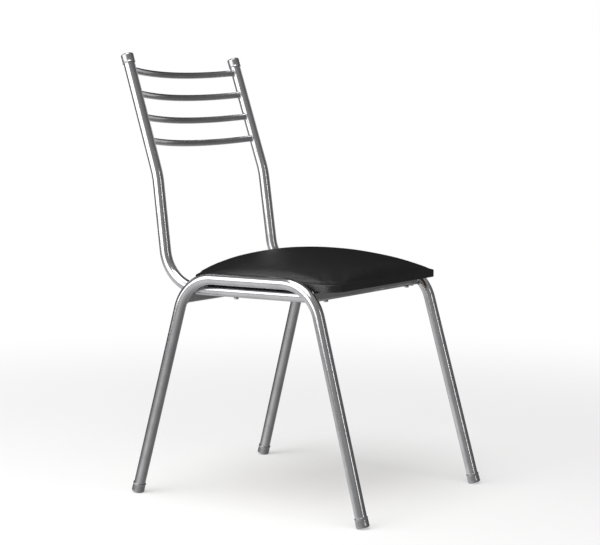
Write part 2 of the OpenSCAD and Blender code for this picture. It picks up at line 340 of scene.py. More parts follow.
zincPlating = {
    "pale": (0.63, 0.63, 0.62),
    "dark": (0.47, 0.475, 0.49),
    "yellow": (0.60, 0.56, 0.42),
}


def makeZinc(name, s):
    finish, b = newFinish(name)
    where = b.place()
    spangle = b.cells(where, 420.0, "F1")
    passive = b.cloud(where, 240.0, 3.0)
    tone = b.mix(spangle, s["pale"], s["dark"])
    tone = b.mix(b.step(passive, 0.5, 0.72) * 0.4, tone, s["yellow"])
    surface(b, {
        "Base Color": tone, "Metallic": 1.0, "Roughness": 0.26 + spangle * 0.18,
        "Normal": b.bump(b.cloud(where, 1800.0, 2.0), 0.00003, 0.6),
    })
    return finish


finishes = {
    "tubePlate": makePlating("platedTube", plating, (1.0, 1.0, 0.05)),
    "barPlate": makePlating("platedBar", plating, (0.05, 1.0, 1.0)),
    "weldPlate": makePlating("platedWeld", weldPlating, (1.0, 1.0, 1.0)),
    "vinyl": makeVinyl("blackVinyl", vinyl),
    "plywood": makePlywood("rawPlywood", plyFace),
    "foam": makeFoam("creamFoam", cutFoam),
    "cap": makeCapPlastic("greyCap", ferrule),
    "zinc": makeZinc("zincPlate", zincPlating),
}
print("finishes made:", len(finishes))


# making and placing pieces

def newPiece(name, mesh, finish=None):
    piece = bpy.data.objects.new(name, mesh)
    bpy.context.scene.collection.objects.link(piece)
    if finish:
        mesh.materials.clear()
        mesh.materials.append(finish)
    return piece


def pieceOf(name, work):
    # a new piece from a bmesh, which is freed
    mesh = bpy.data.meshes.new(name)
    work.to_mesh(mesh)
    work.free()
    return newPiece(name, mesh)


def baked(source, name):
    # a plain piece made of the source with its modifiers done; the source goes
    bpy.context.view_layer.update()
    done = source.evaluated_get(bpy.context.evaluated_depsgraph_get())
    mesh = bpy.data.meshes.new_from_object(done)
    mesh.name = name
    bpy.data.objects.remove(source)
    return newPiece(name, mesh)


def evened(source, times):
    even = source.modifiers.new("even", "SMOOTH")
    even.factor, even.iterations = 0.5, times
    return baked(source, source.name + "Even")


def settle(piece, slotName, *replaced):
    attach(piece, "root")
    if replaced:
        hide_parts(*replaced)


def shadeSoft(mesh, angle=35):
    mesh.shade_smooth()
    mesh.set_sharp_from_angle(angle=math.radians(angle))


def newTool(name, inputs):
    # a geometry tree with its named inputs; gives the tree, its bench and a wire for each input
    tree = bpy.data.node_groups.new(name, "GeometryNodeTree")
    tree.interface.new_socket("Geometry", in_out="INPUT", socket_type="NodeSocketGeometry")
    for label, (kind, value) in inputs.items():
        socket = tree.interface.new_socket(label, in_out="INPUT", socket_type="NodeSocket" + kind)
        if value is not None:
            socket.default_value = value
    tree.interface.new_socket("Geometry", in_out="OUTPUT", socket_type="NodeSocketGeometry")
    bench = Bench(tree)
    entry = tree.nodes.new("NodeGroupInput")
    wires = {socket.name: Wire(bench, socket) for socket in entry.outputs if socket.name}
    return tree, bench, wires


def endTool(bench, geometry, finish):
    whole = bench.node("GeometryNodeRealizeInstances", {}, {0: geometry})
    whole = bench.node("GeometryNodeSetMaterial", {}, {"Geometry": whole, "Material": finish})
    bench.node("NodeGroupOutput", {}, {0: whole})


def runTool(source, tree, values, name):
    modifier = source.modifiers.new("tool", "NODES")
    modifier.node_group = tree
    for item in tree.interface.items_tree:
        if item.item_type == "SOCKET" and item.in_out == "INPUT" and item.name in values:
            modifier[item.identifier] = values[item.name]
    return baked(source, name)


def curveThrough(name, runs):
    # one curve object with a spline for each run of points, which is open or closed
    data = bpy.data.curves.new(name, "CURVE")
    data.dimensions = "3D"
    for points, closed in runs:
        spline = data.splines.new("POLY")
        spline.points.add(len(points) - 1)
        for i, point in enumerate(points):
            spline.points[i].co = (*point, 1)
            spline.points[i].radius = 1.0
        spline.use_cyclic_u = closed
    curve = bpy.data.objects.new(name, data)
    bpy.context.scene.collection.objects.link(curve)
    return curve


# sizes of the frame, in metres, with y from the middle of the leg frames

tube = {"radius": 0.0111, "bend": 0.080, "sides": 56}
legs = {"topZ": 0.430, "topX": 0.205, "topY": 0.142, "reach": 0.117, "splay": 0.011}
back = {
    "drop": 0.0019, "gap": 0.0006,
    "cornerY": 0.203, "lowerRise": 0.214, "lowerReach": 0.0275,
    "upperRise": 0.236, "upperReach": 0.077, "kneeBend": 0.150, "taper": 0.0057,
}
slats = {"radius": 0.00635, "first": 0.031, "pitch": 0.0483, "bow": 0.028, "sides": 40, "steps": 64}
caps = {
    "radius": 0.0125, "round": 0.0034, "length": 0.019, "end": 0.0032,
    "clearance": 0.0001, "soleCut": 0.001,
}

low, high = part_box("leg_frame_left")
midY = (low.y + high.y) / 2  # the middle of the leg frames, in the row's own frame
railZ = legs["topZ"] - 2 * tube["radius"] - back["drop"]
railX = legs["topX"] - 2 * tube["radius"] - back["gap"]
sides = {"left": -1, "right": 1}


def bentPath(corners, radii, step=math.radians(2.0)):
    # rounds the corners of a path in the plane of Y and Z
    points = [Vector(corners[0])]
    for i in range(1, len(corners) - 1):
        before = (Vector(corners[i]) - Vector(corners[i - 1])).normalized()
        after = (Vector(corners[i + 1]) - Vector(corners[i])).normalized()
        turn = before.angle_signed(after)
        tangent = radii[i] * math.tan(abs(turn) / 2)
        start = Vector(corners[i]) - before * tangent
        inward = Vector((-before.y, before.x)) * (-1 if turn > 0 else 1)
        centre = start + inward * radii[i]
        count = max(2, round(abs(turn) / step))
        for k in range(count + 1):
            swing = abs(turn) * k / count
            points.append(centre + (before * math.sin(swing) - inward * math.cos(swing)) * radii[i])
    points.append(Vector(corners[-1]))
    return points


def stretched(points, longest=0.02):
    # adds points along the straights, so that a tube's faces stay even
    done = [points[0]]
    for a, b in zip(points, points[1:]):
        count = max(1, math.ceil((b - a).length / longest))
        done += [a.lerp(b, (k + 1) / count) for k in range(count)]
    return done


def onPlane(side, pivotX, pivotZ, lean, point):
    # a point of a tilted plane, y and height above its pivot, in the row's frame
    y, rise = point
    return Vector((side * (pivotX - rise * math.sin(lean)), y + midY, pivotZ + rise * math.cos(lean)))


def onLeg(side, point):
    return onPlane(side, legs["topX"], legs["topZ"], splayAngle, point)


def onBack(side, point):
    return onPlane(side, railX, railZ, taperAngle, point)


splayAngle = math.atan(legs["splay"] / legs["topZ"])
leanAngle = math.atan(legs["reach"] / legs["topZ"])
legAngle = math.acos(math.cos(splayAngle) * math.cos(leanAngle))
capRing = caps["radius"] - caps["round"]
footZ = caps["round"] * (1 - math.cos(legAngle)) + capRing * math.sin(legAngle) - caps["soleCut"]
footY = legs["topY"] + (legs["topZ"] - footZ) * math.tan(leanAngle)
footDrop = (legs["topZ"] - footZ) / math.cos(splayAngle)
tubeStop = caps["end"] + caps["clearance"]
kneeY = back["cornerY"] + back["lowerReach"]
kneeZ = back["lowerRise"]
tipY = kneeY + back["upperReach"]
tipZ = back["lowerRise"] + back["upperRise"]
upperLean = math.atan(back["upperReach"] / back["upperRise"])
taperAngle = math.atan(back["taper"] / tipZ)


def legPath(side):
    end = Vector((-footY, -footDrop))
    stop = end + (Vector((-legs["topY"], 0)) - end).normalized() * tubeStop
    corners = [stop, (-legs["topY"], 0), (legs["topY"], 0), (-stop.x, stop.y)]
    flat = stretched(bentPath(corners, [0, tube["bend"], tube["bend"], 0]))
    return [onLeg(side, p) for p in flat]


def backPath(side, start):
    end = Vector((tipY, tipZ))
    stop = end + (Vector((kneeY, kneeZ)) - end).normalized() * tubeStop
    corners = [(start, 0), (back["cornerY"], 0), (kneeY, kneeZ), stop]
    flat = stretched(bentPath(corners, [0, tube["bend"], back["kneeBend"], 0]))
    return [onBack(side, p) for p in flat]


def slatPath(index):
    away = slats["first"] + index * slats["pitch"]
    y = tipY - away * math.sin(upperLean)
    z = railZ + tipZ - away * math.cos(upperLean)
    half = railX - (z - railZ) * math.tan(taperAngle)
    bow = slats["bow"]
    arc = (half ** 2 + bow ** 2) / (2 * bow)
    reach = math.asin((half - tube["radius"] * 0.86) / arc)
    points = []
    for k in range(slats["steps"] + 1):
        a = reach * (2 * k / slats["steps"] - 1)
        out = arc * math.cos(a) + bow - arc
        away = Vector((0, math.cos(upperLean), -math.sin(upperLean))) * out
        points.append(Vector((arc * math.sin(a), y + midY, z)) + away)
    return points


# tubes and slats

def makeTubeTool():
    tree, b, ins = newTool("bentTube", {
        "Tube radius": ("Float", 0.01), "Sides": ("Int", 48), "Finish": ("Material", None),
    })
    ring = b.node("GeometryNodeCurvePrimitiveCircle", {},
                  {"Resolution": ins["Sides"], "Radius": ins["Tube radius"]})
    skin = b.node("GeometryNodeCurveToMesh", {}, {0: ins["Geometry"], 1: ring, "Fill Caps": True})
    skin = b.node("GeometryNodeSetShadeSmooth", {}, {0: skin})
    endTool(b, skin, ins["Finish"])
    return tree


tubeTool = makeTubeTool()


def outward(mesh):
    # closes the mesh, with its faces pointing outwards
    work = bmesh.new()
    work.from_mesh(mesh)
    bmesh.ops.remove_doubles(work, verts=work.verts, dist=1e-6)
    bmesh.ops.holes_fill(work, edges=[e for e in work.edges if e.is_boundary], sides=0)
    bmesh.ops.recalc_face_normals(work, faces=work.faces)
    work.to_mesh(mesh)
    work.free()


def makeTube(name, points, size, replaced):
    sizes = {"Tube radius": size["radius"], "Sides": size["sides"], "Finish": finishes["tubePlate"]}
    piece = runTool(curveThrough(name, [(points, False)]), tubeTool, sizes, name)
    outward(piece.data)
    shadeSoft(piece.data, 50)
    settle(piece, "frame_steel", replaced)
    return piece


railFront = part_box("front_cross_rail")[1].y - midY
tubes = {}
for side, sign in sides.items():
    tubes["leg" + side] = makeTube("legFrame_" + side, legPath(sign), tube, "leg_frame_" + side)
    tubes["back" + side] = makeTube("backTube_" + side, backPath(sign, railFront), tube, "back_tube_" + side)
for index, name in enumerate(("top", "upper", "lower", "bottom")):
    tubes["slat" + name] = makeTube("backSlat_" + name, slatPath(index), slats, "back_slat_" + name)
print("tubes bent:", len(tubes))


# cross rails, from the CAD shape with its faces joined and shaded smooth

def makeSmoothCopy(node, name, finish, slotName):
    mesh = nodes[node].data.copy()
    work = bmesh.new()
    work.from_mesh(mesh)
    bmesh.ops.remove_doubles(work, verts=work.verts, dist=2e-6)
    work.to_mesh(mesh)
    work.free()
    mesh.name = name
    shadeSoft(mesh, 40)
    settle(newPiece(name, mesh, finish), slotName, node)


for where in ("front", "rear"):
    makeSmoothCopy(where + "_cross_rail", "crossRail_" + where, finishes["barPlate"], "frame_steel")
print("cross rails done")


# caps on the feet and on the back

capLook = {
    "sides": 64,
    "draft": 0.0004,    # the wall leans in towards the open end
    "lip": 0.0004,      # rolled bead round the open end
    "lipHeight": 0.0022,
}


def capProfile(s):
    r, n, top = caps["radius"], caps["round"], caps["length"]
    bore = tube["radius"] + caps["clearance"]
    points = [(0.0, 0.0004), (capRing * 0.55, 0.0003), (capRing * 0.8, 0.0)]
    for d in range(0, 91, 10):
        a = math.radians(d)
        points.append((capRing + n * math.sin(a), n - n * math.cos(a)))
    wallTop = top - s["lipHeight"] - 0.0004
    points += [(r - s["draft"] * k / 4, n + (wallTop - n) * k / 4) for k in (1, 2, 3, 4)]
    lipMid, lipR = top - s["lipHeight"] / 2, s["lipHeight"] / 2
    for d in range(-70, 91, 20):
        a = math.radians(d)
        points.append((r - s["draft"] + s["lip"] * 1.6 * math.cos(a), lipMid + lipR * math.sin(a)))
    points += [(bore + 0.0005, top), (bore, top - 0.0006), (bore, caps["end"] + 0.0001), (0.0, caps["end"])]
    return points


def lathe(profile, count):
    # turns a profile of radius and height about Z; ends on the axis become poles
    work = bmesh.new()
    rings = []
    for r, z in profile:
        if r == 0.0:
            rings.append([work.verts.new((0, 0, z))])
        else:
            rings.append([work.verts.new((r * math.cos(t), r * math.sin(t), z))
                          for t in (2 * math.pi * k / count for k in range(count))])
    for a, b in zip(rings, rings[1:]):
        for k in range(count):
            n = (k + 1) % count
            corners = [a[k % len(a)], a[n % len(a)], b[n % len(b)], b[k % len(b)]]
            work.faces.new(list(dict.fromkeys(corners)))
    bmesh.ops.recalc_face_normals(work, faces=work.faces)
    return work


def makeCap(name, node, tip, towards, onFloor):
    work = lathe(capProfile(capLook), capLook["sides"])
    turn = (towards - tip).normalized().to_track_quat("Z", "Y").to_matrix().to_4x4()
    bmesh.ops.transform(work, matrix=Matrix.Translation(tip) @ turn, verts=work.verts)
    if onFloor:  # the sole is worn flat on the floor
        everything = list(work.verts) + list(work.edges) + list(work.faces)
        cut = bmesh.ops.bisect_plane(work, geom=everything, plane_co=(0, 0, 0), plane_no=(0, 0, -1),
                                     clear_outer=True)
        rim = [e for e in cut["geom_cut"] if isinstance(e, bmesh.types.BMEdge)]
        bmesh.ops.contextual_create(work, geom=rim)
    piece = pieceOf(name, work)
    piece.data.materials.append(finishes["cap"])
    shadeSoft(piece.data, 45)
    settle(piece, "grey_caps", node)


for side, sign in sides.items():
    for end, way in (("front", -1), ("rear", 1)):
        tip, corner = onLeg(sign, (way * footY, -footDrop)), onLeg(sign, (way * legs["topY"], 0))
        makeCap(f"footCap_{end}_{side}", f"foot_cap_{end}_{side}", tip, corner, True)
    tip, knee = onBack(sign, (tipY, tipZ)), onBack(sign, (kneeY, kneeZ))
    makeCap(f"backCap_{side}", f"back_cap_{side}", tip, knee, False)
print("caps done")


# seat pad: vinyl pulled over foam and stapled under the board

pad = {
    "frontRound": 0.030, "rearRound": 0.065, "crownRadius": 0.662,
    "waist": 0.0028,       # how far each side pulls in between its corners
    "edgeRound": 0.013,
    "swell": 0.0050,       # the cut foam is this much lower than the finished crown
    "slack": 0.0020,       # and this much narrower
    "voxel": 0.005, "pressure": 4.0, "frames": 20, "mostMove": 0.0075,
    "around": 224, "foamAround": 160,
    "spine": 0.026,        # the rings of the sides fan out from a line this far in
    "hem": 0.027, "skin": 0.001,
    "foamGap": 0.0022, "foamScale": 0.985,
    "pleatShift": 0.0018, "pleatDrop": 0.0013,
    "pleatsWithin": 0.170,  # no pleat hangs down where the seat rails pass
    "cornerEase": 0.0005,   # the vinyl stands this much proud of the board round a corner
}

padLow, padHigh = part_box("seat_cover")
boardLow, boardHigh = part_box("seat_board")
padMiddle = Vector((0, (padLow.y + padHigh.y) / 2, 0))


def padOutline(count, inset, waist=0.0):
    # evenly spaced points of the rounded outline, each with the direction that points outwards
    runs = []
    centres = (
        (1, 1, pad["rearRound"], 0), (-1, 1, pad["rearRound"], 90),
        (-1, -1, pad["frontRound"], 180), (1, -1, pad["frontRound"], 270),
    )
    for sx, sy, r, start in centres:
        x = sx * (padHigh.x - r)
        y = (padHigh.y - r) if sy > 0 else (padLow.y + r)
        steps = 24 if r > 0.04 else 12
        for k in range(steps + 1):
            a = math.radians(start + 90 * k / steps)
            runs.append((Vector((x, y)), Vector((math.cos(a), math.sin(a))), r))
    fine = []
    for (c0, n0, r0), (c1, n1, r1) in zip(runs, runs[1:] + runs[:1]):
        p0, p1 = c0 + n0 * r0, c1 + n1 * r1
        cuts = max(1, round((p1 - p0).length / 0.002))
        fine += [(p0.lerp(p1, k / cuts), n0.lerp(n1, k / cuts).normalized()) for k in range(cuts)]
    lengths = [0.0]
    for (p0, _), (p1, _) in zip(fine, fine[1:] + fine[:1]):
        lengths.append(lengths[-1] + (p1 - p0).length)
    total, k, done = lengths[-1], 0, []
    for i in range(count):
        want = total * i / count
        while lengths[k + 1] < want:
            k += 1
        p0, n0 = fine[k]
        p1, n1 = fine[(k + 1) % len(fine)]
        t = (want - lengths[k]) / max(1e-9, lengths[k + 1] - lengths[k])
        p, n = p0.lerp(p1, t), n0.lerp(n1, t).normalized()
        alongX = max(0.0, 1 - (p.x / (padHigh.x - 0.02)) ** 2)
        alongY = max(0.0, 1 - ((p.y - padMiddle.y) / ((padHigh.y - padLow.y) / 2 - 0.02)) ** 2)
        pulled = waist * (alongX * abs(n.y) + alongY * abs(n.x))
        done.append((p - n * (inset + pulled), n))
    return done


def crownAt(x, y):
    r = pad["crownRadius"]
    return padHigh.z - r + math.sqrt(r * r - x * x - (y - padMiddle.y) ** 2)


def joinRings(work, rings):
    for a, b in zip(rings, rings[1:]):
        for k in range(len(a)):
            n = (k + 1) % len(a)
            work.faces.new((a[k], a[n], b[n], b[k]))


def foamBlock():
    # the foam as it is cut, before the vinyl is pulled down over it
    work = bmesh.new()
    count, rings = pad["foamAround"], []
    low = padLow.z + 0.0006
    for inset, z in ((0.003, low), (0.0003, low + 0.002), (0.0003, boardHigh.z)):
        rings.append([work.verts.new((p.x, p.y, z)) for p, n in padOutline(count, inset)])
    for k in range(8):
        a = math.radians(90 * k / 7)
        ring = []
        for (p, n), (q, _) in zip(padOutline(count, 0.0), padOutline(count, pad["slack"], pad["waist"])):
            top = crownAt(q.x, q.y) - pad["swell"] * 0.4
            bend = max(0.0015, min(pad["edgeRound"], (top - boardHigh.z) * 0.8))
            q = p.lerp(q, min(1.0, (top - boardHigh.z) / 0.012)) - n * bend * (1 - math.cos(a))
            top = crownAt(q.x, q.y) - pad["swell"] * (0.4 + 0.6 * k / 7)
            height = max(boardHigh.z + 0.0004 * (k + 1), top - bend * (1 - math.sin(a)))
            ring.append(work.verts.new((q.x, q.y, height)))
        rings.append(ring)
    edge = [v.co.copy() for v in rings[-1]]
    for t in (0.9, 0.78, 0.64, 0.48, 0.32, 0.16):
        spots = [(c.x * t, padMiddle.y + (c.y - padMiddle.y) * t) for c in edge]
        rings.append([work.verts.new((x, y, crownAt(x, y) - pad["swell"])) for x, y in spots])
    joinRings(work, rings)
    work.faces.new(rings[-1])
    work.faces.new(list(reversed(rings[0])))
    bmesh.ops.triangulate(work, faces=[f for f in work.faces if len(f.verts) > 4])
    bmesh.ops.recalc_face_normals(work, faces=work.faces)
    block = pieceOf("foamBlock", work)
    remesh = block.modifiers.new("voxels", "REMESH")
    remesh.mode = "VOXEL"
    remesh.voxel_size = pad["voxel"]
    remesh.use_smooth_shade = True
    return evened(block, 4)


def swell(block):
    # cloth under pressure, held where the vinyl is stapled; no point may move further than the cap
    before = [v.co.copy() for v in block.data.vertices]
    held = block.vertex_groups.new(name="held")
    held.add([v.index for v in block.data.vertices if v.co.z < boardHigh.z + 0.002], 1.0, "REPLACE")
    cloth = block.modifiers.new("cloth", "CLOTH")
    facts = cloth.settings
    facts.quality = 6
    facts.mass = 0.25
    facts.tension_stiffness = facts.compression_stiffness = 18
    facts.bending_stiffness = 1.5
    facts.use_pressure = True
    facts.uniform_pressure_force = pad["pressure"]
    facts.vertex_group_mass = "held"
    facts.effector_weights.gravity = 0
    cloth.collision_settings.use_collision = False
    cloth.point_cache.frame_start, cloth.point_cache.frame_end = 1, pad["frames"]
    scene = bpy.context.scene
    for f in range(1, pad["frames"] + 1):
        scene.frame_set(f)
    swollen = baked(block, "padSwollen")
    for v, start in zip(swollen.data.vertices, before):
        move = v.co - start
        if move.length > pad["mostMove"]:
            v.co = start + move.normalized() * pad["mostMove"]
    scene.frame_set(1)
    return evened(swollen, 6)


def bumpAt(t, middle, width):
    # smooth hill of height 1, as wide as width on each side
    d = abs(t - middle) / width
    return 0.0 if d >= 1 else (1 - d * d) ** 2


def cornerAngle(n):
    # 0 where a side is straight, up to 1 in the middle of a corner
    return 2 * abs(n.x * n.y)


hemRings = 9
edgeRings = ((0.0001, 0.0005), (0.0007, 0), (0.0018, 0), (0.005, 0), (0.0105, 0), (0.013, 0))  # rise, inset
topRings = (0.965, 0.925, 0.88, 0.83, 0.775, 0.715, 0.65, 0.58, 0.505, 0.425, 0.34, 0.25, 0.16, 0.08)
firstSide = hemRings + len(edgeRings)  # the first ring above the board


def coverRings(shape):
    # rings of points that lie on the swollen pad: under the board, round the sides, and over the top
    tree = BVHTree.FromObject(shape, bpy.context.evaluated_depsgraph_get())
    outline = padOutline(pad["around"], 0.0)
    spine = padOutline(pad["around"], pad["spine"], pad["waist"])
    rings = []
    for k in range(hemRings):
        inset = pad["hem"] + (0.0022 - pad["hem"]) * k / (hemRings - 1)
        ring = []
        for i, (p, n) in enumerate(outline):
            q = p - n * inset
            loose = cornerAngle(n) * inset / pad["hem"]  # the hem is pleated round the corners
            fold = loose if abs(q.x) < pad["pleatsWithin"] else 0
            wave = abs(math.sin(i * math.pi / 4.0 + 1.1))
            q = q - n * (pad["pleatShift"] * math.sin(i * 0.9) * loose)
            ring.append(Vector((q.x, q.y, padLow.z + 0.0002 - pad["pleatDrop"] * fold * wave)))
        rings.append(ring)
    for rise, inset in edgeRings:
        rings.append([Vector((*(p - n * (inset - pad["cornerEase"] * cornerAngle(n))), padLow.z + rise))
                      for p, n in outline])
    for degrees in range(0, 86, 5):
        a = math.radians(degrees)
        ring = []
        for (p, n), (s, _) in zip(outline, spine):
            start = Vector((s.x, s.y, boardHigh.z + 0.0006))
            way = Vector((n.x * math.cos(a), n.y * math.cos(a), math.sin(a)))
            hit = tree.ray_cast(start + way * 0.09, -way)[0]
            ring.append(hit if hit else start + way * 0.02)
        rings.append(ring)
    edge = rings[-1]
    for t in topRings:
        ring = []
        for c in edge:
            x, y = c.x * t, padMiddle.y + (c.y - padMiddle.y) * t
            hit = tree.ray_cast(Vector((x, y, 0.6)), Vector((0, 0, -1)))[0]
            ring.append(hit if hit else Vector((x, y, crownAt(x, y))))
        rings.append(ring)
    crown = tree.ray_cast(Vector((0, padMiddle.y, 0.6)), Vector((0, 0, -1)))[0]
    return rings, crown, outline


creaseLines = {
    # corner: folds that run up from the board, each an offset along the edge, a depth and a height
    "front": [(-0.020, 0.0009, 0.030), (-0.007, 0.0012, 0.036), (0.006, 0.0010, 0.028), (0.019, 0.0008, 0.033)],
    "rear": [(-0.034, 0.0007, 0.024), (-0.016, 0.0009, 0.030), (0.003, 0.0007, 0.026),
             (0.021, 0.0009, 0.031), (0.038, 0.0006, 0.022)],
}


def dressRings(rings, outline):
    # presses the vinyl in over the board's edge, and folds it at the corners
    spots = []
    for name, folds in creaseLines.items():
        sy = -1 if name == "front" else 1
        for sx in (-1, 1):
            best = max(range(len(outline)), key=lambda i: outline[i][1].x * sx + outline[i][1].y * sy)
            spots += [(best, offset * sx, depth, tall) for offset, depth, tall in folds]
    total = sum((outline[i][0] - outline[i - 1][0]).length for i in range(len(outline)))
    stepLength = total / len(outline)
    for ring in rings[hemRings:]:
        for i, (p, n) in enumerate(outline):
            v = ring[i]
            out = Vector((n.x, n.y, 0))
            if v.z < boardHigh.z + 0.0012:  # the vinyl lies against the board's edge
                v.x, v.y = p + n * (pad["cornerEase"] * cornerAngle(n))
                continue
            v -= out * 0.0010 * bumpAt(v.z, boardHigh.z + 0.0040, 0.0028)
            for best, offset, depth, tall in spots:
                away = (i - best + len(outline) / 2) % len(outline) - len(outline) / 2
                d = away * stepLength - offset
                rise = v.z - padLow.z
                if rise > tall or abs(d) > 0.012:
                    continue
                fade = (1 - rise / tall) ** 1.3
                v -= out * depth * fade * bumpAt(d + 0.12 * rise, 0, 0.0052)
                v += out * depth * 0.5 * fade * bumpAt(d + 0.12 * rise, 0.0065, 0.005)
    for ring in rings[firstSide + 3:]:
        for v in ring:  # low, wide lumps of old foam
            v.z += noise.noise(Vector((v.x * 16, v.y * 16, 3.1))) * 0.0006
    return rings


def ringMesh(name, rings, crown):
    work = bmesh.new()
    made = [[work.verts.new(v) for v in ring] for ring in rings]
    joinRings(work, made)
    top, last = work.verts.new(crown), made[-1]
    for a, b in zip(last, last[1:] + last[:1]):
        work.faces.new((a, b, top))
    mesh = bpy.data.meshes.new(name)
    work.to_mesh(mesh)
    work.free()
    mesh.shade_smooth()
    return mesh


def makeSeat():
    shape = foamBlock()
    shape = swell(shape)
    rings, crown, outline = coverRings(shape)
    bpy.data.objects.remove(shape)
    rings = dressRings(rings, outline)
    foamBase = boardHigh.z + 0.0002
    foamRings = []
    for ring in rings[firstSide:]:
        inner = []
        for v in ring:
            x, y = v.x * pad["foamScale"], padMiddle.y + (v.y - padMiddle.y) * pad["foamScale"]
            inner.append(Vector((x, y, max(foamBase, v.z - pad["foamGap"]))))
        foamRings.append(inner)
    cover = newPiece("seatCover", ringMesh("seatCover", rings, crown), finishes["vinyl"])
    skin = cover.modifiers.new("skin", "SOLIDIFY")
    skin.thickness, skin.offset = pad["skin"], -1
    finer = cover.modifiers.new("finer", "SUBSURF")
    finer.levels = finer.render_levels = 1
    settle(cover, "black_vinyl", "seat_cover")
    base = [Vector((v.x, v.y, foamBase)) for v in foamRings[0]]
    mesh = ringMesh("seatFoam", [base] + foamRings, crown - Vector((0, 0, pad["foamGap"])))
    outward(mesh)
    shadeSoft(mesh, 50)
    foam = newPiece("seatFoam", mesh, finishes["foam"])
    settle(foam, "foam", "seat_foam")
    return cover


seatCover = makeSeat()
nodes["seat_board"].data.materials.clear()
nodes["seat_board"].data.materials.append(finishes["plywood"])
print("seat pad done")


# welds

weld = {
    "beadRadius": 0.0015, "pitch": 0.0013, "under": 0.0012, "seed": 7,
    "barHalf": 0.0095,    # half the height of a cross rail
    "proud": 0.0003,      # how far outside the part the bead runs
}


def makeWeldTool():
    tree, b, ins = newTool("weldBead", {
        "Bead radius": ("Float", 0.0015), "Pitch": ("Float", 0.0013), "Under": ("Float", 0.0012),
        "Seed": ("Int", 0), "Finish": ("Material", None),
    })
    run = b.node("GeometryNodeResampleCurve", {"mode": "LENGTH"},
                 {"Curve": ins["Geometry"], "Length": ins["Pitch"]})
    tangent = b.node("GeometryNodeInputTangent")
    facing = b.node("FunctionNodeAlignRotationToVector", {"axis": "Z"}, {"Vector": tangent})
    ripple = b.node("GeometryNodeMeshUVSphere", {}, {"Segments": 10, "Rings": 6, "Radius": ins["Bead radius"]})
    size = b.node("FunctionNodeRandomValue", {"data_type": "FLOAT"},
                  {2: 0.86, 3: 1.14, "Seed": ins["Seed"]}, out=1)
    scale = b.node("ShaderNodeCombineXYZ", {}, {0: size, 1: size, 2: size * 0.62})
    beads = b.node("GeometryNodeInstanceOnPoints", {},
                   {"Points": run, "Instance": ripple, "Rotation": facing, "Scale": scale})
    ring = b.node("GeometryNodeCurvePrimitiveCircle", {}, {"Resolution": 10, "Radius": ins["Under"]})
    root = b.node("GeometryNodeCurveToMesh", {}, {0: run, 1: ring, "Fill Caps": True})
    both = b.tree.nodes.new("GeometryNodeJoinGeometry")
    for part in (beads, root):
        b.tree.links.new(part.socket, both.inputs[0])
    smooth = b.node("GeometryNodeSetShadeSmooth", {}, {0: Wire(b, both.outputs[0])})
    endTool(b, smooth, ins["Finish"])
    return tree


weldTool = makeWeldTool()


def surfaceTree(piece):
    # a search tree over a finished piece
    mesh = piece.data
    return BVHTree.FromPolygons([v.co for v in mesh.vertices], [list(f.vertices) for f in mesh.polygons])


def meetings(starts, way, target, reach=0.03, sink=0.0002):
    # where lines from the starts meet the target, a little before its surface
    hits = [target.ray_cast(start, way, reach)[0] for start in starts]
    return [hit - way * sink for hit in hits if hit]


def slatWelds():
    # a ring round each end of each slat
    r = slats["radius"] + weld["proud"]
    turns = [2 * math.pi * k / 40 for k in range(40)]
    for index in range(4):
        path = slatPath(index)
        for a, b, side in ((path[-4], path[-1], "right"), (path[3], path[0], "left")):
            way = (b - a).normalized()
            across = way.cross(Vector((0, math.sin(upperLean), math.cos(upperLean)))).normalized()
            up = across.cross(way).normalized()
            starts = [a - way * 0.006 + across * (math.cos(t) * r) + up * (math.sin(t) * r) for t in turns]
            yield meetings(starts, way, surfaceTree(tubes["back" + side])), True


def barWelds():
    # a ring round each end of the cross rails, whose section is a rectangle with round corners
    half = weld["barHalf"]
    for where in ("front", "rear"):
        low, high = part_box(where + "_cross_rail")
        deep, tall = (high.y - low.y) / 2 + weld["proud"], half + weld["proud"]
        middle = Vector((0, (low.y + high.y) / 2, high.z - half if where == "front" else low.z + half))
        for side, sign in sides.items():
            starts = []
            for k in range(64):
                c, s = math.cos(2 * math.pi * k / 64), math.sin(2 * math.pi * k / 64)
                y, z = math.copysign(deep * abs(c) ** 0.45, c), math.copysign(tall * abs(s) ** 0.45, s)
                starts.append(middle + Vector((sign * (legs["topX"] - 0.020), y, z)))
            loop = meetings(starts, Vector((sign, 0, 0)), surfaceTree(tubes["leg" + side]))
            yield loop, len(loop) == len(starts)


def saddleWelds():
    # up both flanks of the seat rails, where they lie in the front cross rail
    low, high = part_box("front_cross_rail")
    r = tube["radius"] + 0.0002
    for sign in sides.values():
        for flank in (1, -1):
            turns = [t for t in (math.radians(9 * k) for k in range(-14, 15)) if t * flank > 0]
            turns = [t for t in turns if railZ - r * math.cos(t) > low.z + 0.0006]
            yield [Vector((sign * railX + r * math.sin(t), high.y + 0.0006, railZ - r * math.cos(t)))
                   for t in turns], False


def rearWelds():
    # across the seat rails at the rear cross rail, and where they pass the leg frames
    low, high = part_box("rear_cross_rail")
    for side, sign in sides.items():
        target = surfaceTree(tubes["back" + side])
        for y in (low.y - 0.0002, high.y + 0.0002):
            starts = [Vector((sign * railX + 0.00062 * k, y, 0.36)) for k in range(-8, 9)]
            yield meetings(starts, Vector((0, 0, 1)), target, 0.08, 0.0004), False
        crossing = crossingPoint(sign)
        for tilt in (-1, 1):
            way = Vector((0, 0.80, tilt * 0.60))
            yield [crossing + way * (k * 0.0012) for k in range(-5, 6)], False


def makeWelds():
    runs = [run for make in (slatWelds, barWelds, saddleWelds, rearWelds) for run in make() if len(run[0]) > 2]
    welds = runTool(curveThrough("weldRuns", runs), weldTool, {
        "Bead radius": weld["beadRadius"], "Pitch": weld["pitch"], "Under": weld["under"],
        "Seed": weld["seed"], "Finish": finishes["weldPlate"],
    }, "weldBeads")
    settle(welds, "frame_steel")


